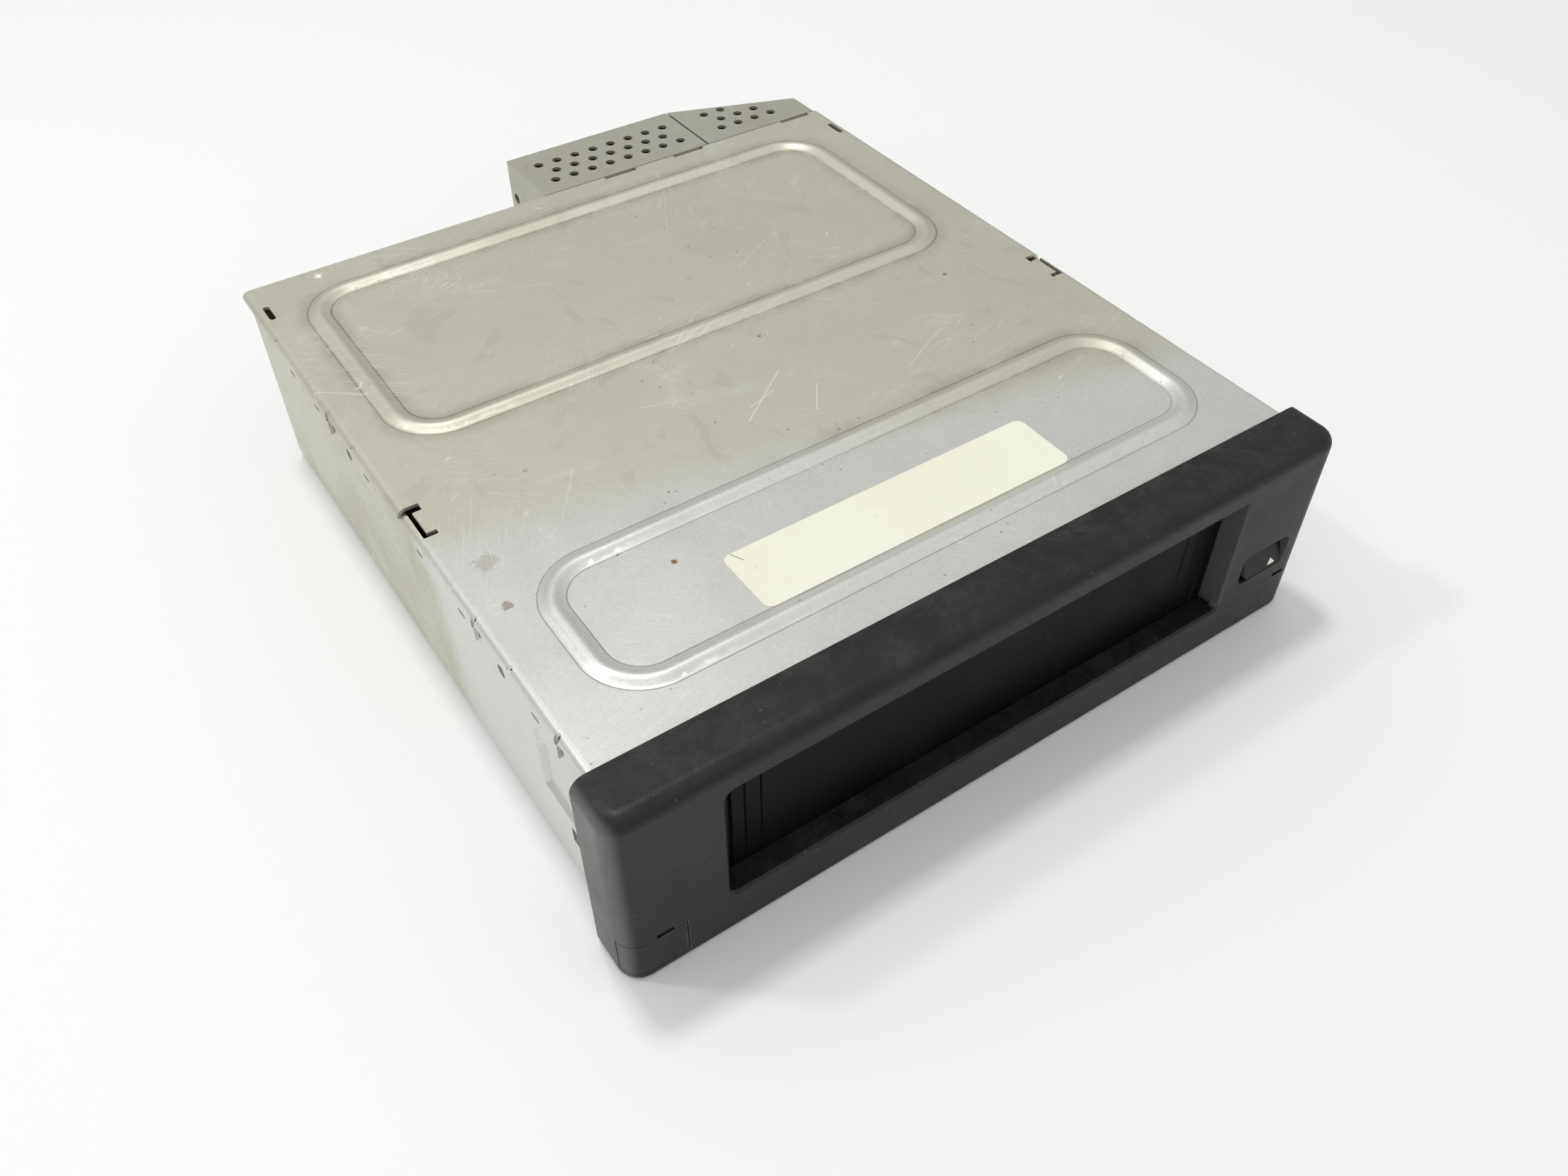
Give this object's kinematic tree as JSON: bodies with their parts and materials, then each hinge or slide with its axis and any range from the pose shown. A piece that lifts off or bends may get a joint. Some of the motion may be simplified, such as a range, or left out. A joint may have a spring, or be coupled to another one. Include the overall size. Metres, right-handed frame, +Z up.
{
  "type": "car cd changer",
  "caption": "Magazine-loading car CD changer: flat sheet-metal case with a black moulded bezel, a dust flap over the magazine bay, an eject button and a lift mechanism inside.",
  "frame": {"origin": "middle of the footprint, on the surface that the unit stands on", "axes": "+X to the right along the bezel, +Y from the bezel to the back, +Z up"},
  "size_m": [0.1844, 0.2186, 0.052],
  "materials": {
    "galvanised_sheet": "dull galvanised, smudged",
    "shield_sheet": "dull galvanised, darker",
    "black_plastic": "fine grain, satin",
    "flap_plastic": "satin",
    "label_film": "cream, smooth, blank",
    "zinc_screw": "zinc plated",
    "spring_steel": "drawn wire",
    "circuit_board": "green solder mask",
    "chip_black": "moulded",
    "socket_plastic": "moulded",
    "pin_metal": "plated",
    "deck_sheet": "bright zinc",
    "damper_rubber": "soft moulded",
    "guide_plastic": "natural, moulded",
    "white_plastic": "natural acetal",
    "shaft_steel": "ground",
    "motor_can": "zinc plated can",
    "turntable_plastic": "moulded",
    "lens_glass": "clear, bluish coat"
  },
  "bodies": {
    "case": {"bottom_chassis": "galvanised_sheet", "top_cover": "galvanised_sheet", "blank_label": "label_film", "front_bezel": "black_plastic", "corner_cap_left": "black_plastic", "corner_cap_right": "black_plastic", "flap_spring": "spring_steel", "switch_board": "circuit_board", "rear_shield_left": "shield_sheet", "rear_shield_right": "shield_sheet", "side_screws": "zinc_screw", "shield_screws": "zinc_screw", "rear_socket": "socket_plastic", "socket_pins": "pin_metal", "main_board": "circuit_board", "board_parts": "chip_black", "board_screws": "zinc_screw", "board_standoffs": "shaft_steel", "deck_base": "deck_sheet", "deck_dampers": "damper_rubber", "magazine_guide_left": "guide_plastic", "magazine_guide_right": "guide_plastic", "worm_bracket": "deck_sheet", "lift_motor": "motor_can", "guide_posts": "shaft_steel"},
    "flap": {"dust_flap": "flap_plastic"},
    "button": {"eject_button": "black_plastic"},
    "ejector": {"ejector_slide": "white_plastic"},
    "cam_left": {"cam_plate_left": "white_plastic"},
    "cam_right": {"cam_plate_right": "white_plastic"},
    "shaft": {"cross_shaft": "shaft_steel", "shaft_pinions": "white_plastic", "worm_wheel": "white_plastic"},
    "worm": {"lift_worm": "white_plastic"},
    "carriage": {"lift_carriage": "deck_sheet", "spindle_motor": "motor_can", "sled_rods": "shaft_steel", "sled_motor": "motor_can"},
    "spindle": {"turntable": "turntable_plastic"},
    "arm": {"clamp_arm": "deck_sheet"},
    "puck": {"clamp_puck": "turntable_plastic"},
    "sled": {"pickup_sled": "turntable_plastic", "pickup_lens": "lens_glass"},
    "pickup_gear": {"sled_gear": "white_plastic"},
    "hook": {"tray_hook": "white_plastic"}
  },
  "joints": [
    {"name": "flap_swing", "type": "hinge", "parent": "case", "child": "flap", "pos_m": [0, -0.10215, 0.0474], "axis": [1, 0, 0], "range_deg": [0, 85], "stiffness_Nm_per_rad": 0.004, "springref_deg": -20.05},
    {"name": "eject_press", "type": "slide", "parent": "case", "child": "button", "axis": [0, 1, 0], "range_m": [0, 0.0015], "stiffness_N_per_m": 400, "springref_m": -0.0008},
    {"name": "ejector_slide", "type": "slide", "parent": "case", "child": "ejector", "axis": [0, 1, 0], "range_m": [0, 0.02], "stiffness_N_per_m": 60, "springref_m": -0.004},
    {"name": "lift", "type": "slide", "parent": "case", "child": "carriage", "axis": [0, 0, 1], "range_m": [0, 0.023]},
    {"name": "cam_left_slide", "type": "slide", "parent": "case", "child": "cam_left", "axis": [0, 1, 0], "range_m": [0, 0.0231]},
    {"name": "cam_right_slide", "type": "slide", "parent": "case", "child": "cam_right", "axis": [0, 1, 0], "range_m": [0, 0.0231]},
    {"name": "shaft_turn", "type": "hinge", "parent": "case", "child": "shaft", "pos_m": [0, 0.02575, 0.007], "axis": [-1, 0, 0], "range_deg": [0, 276]},
    {"name": "worm_turn", "type": "hinge", "parent": "case", "child": "worm", "pos_m": [0.079, 0.02575, 0.01555], "axis": [0, 1, 0], "continuous": true},
    {"name": "spindle_spin", "type": "hinge", "parent": "carriage", "child": "spindle", "pos_m": [0.041, 0.04975, 0.012], "axis": [0, 0, 1], "continuous": true},
    {"name": "clamp_lift", "type": "hinge", "parent": "carriage", "child": "arm", "pos_m": [0.041, 0.07675, 0.0185], "axis": [-1, 0, 0], "range_deg": [0, 7], "stiffness_Nm_per_rad": 0.02, "springref_deg": -8.59},
    {"name": "puck_spin", "type": "hinge", "parent": "arm", "child": "puck", "pos_m": [0.041, 0.04975, 0.016], "axis": [0, 0, 1], "continuous": true},
    {"name": "sled_slide", "type": "slide", "parent": "carriage", "child": "sled", "axis": [-1, 0, 0], "range_m": [0, 0.032]},
    {"name": "sled_gear_turn", "type": "hinge", "parent": "carriage", "child": "pickup_gear", "pos_m": [-0.003, 0.0699, 0.005], "axis": [0, 0, -1], "range_deg": [0, 384]},
    {"name": "hook_slide", "type": "slide", "parent": "carriage", "child": "hook", "axis": [0, 1, 0], "range_m": [0, 0.028]}
  ],
  "couplings": [
    {"joint": "cam_left_slide", "follows": "lift", "ratio": 1},
    {"joint": "cam_right_slide", "follows": "lift", "ratio": 1},
    {"joint": "shaft_turn", "follows": "lift", "rad_per_m": 208.33},
    {"joint": "sled_gear_turn", "follows": "sled_slide", "rad_per_m": 208.33}
  ]
}
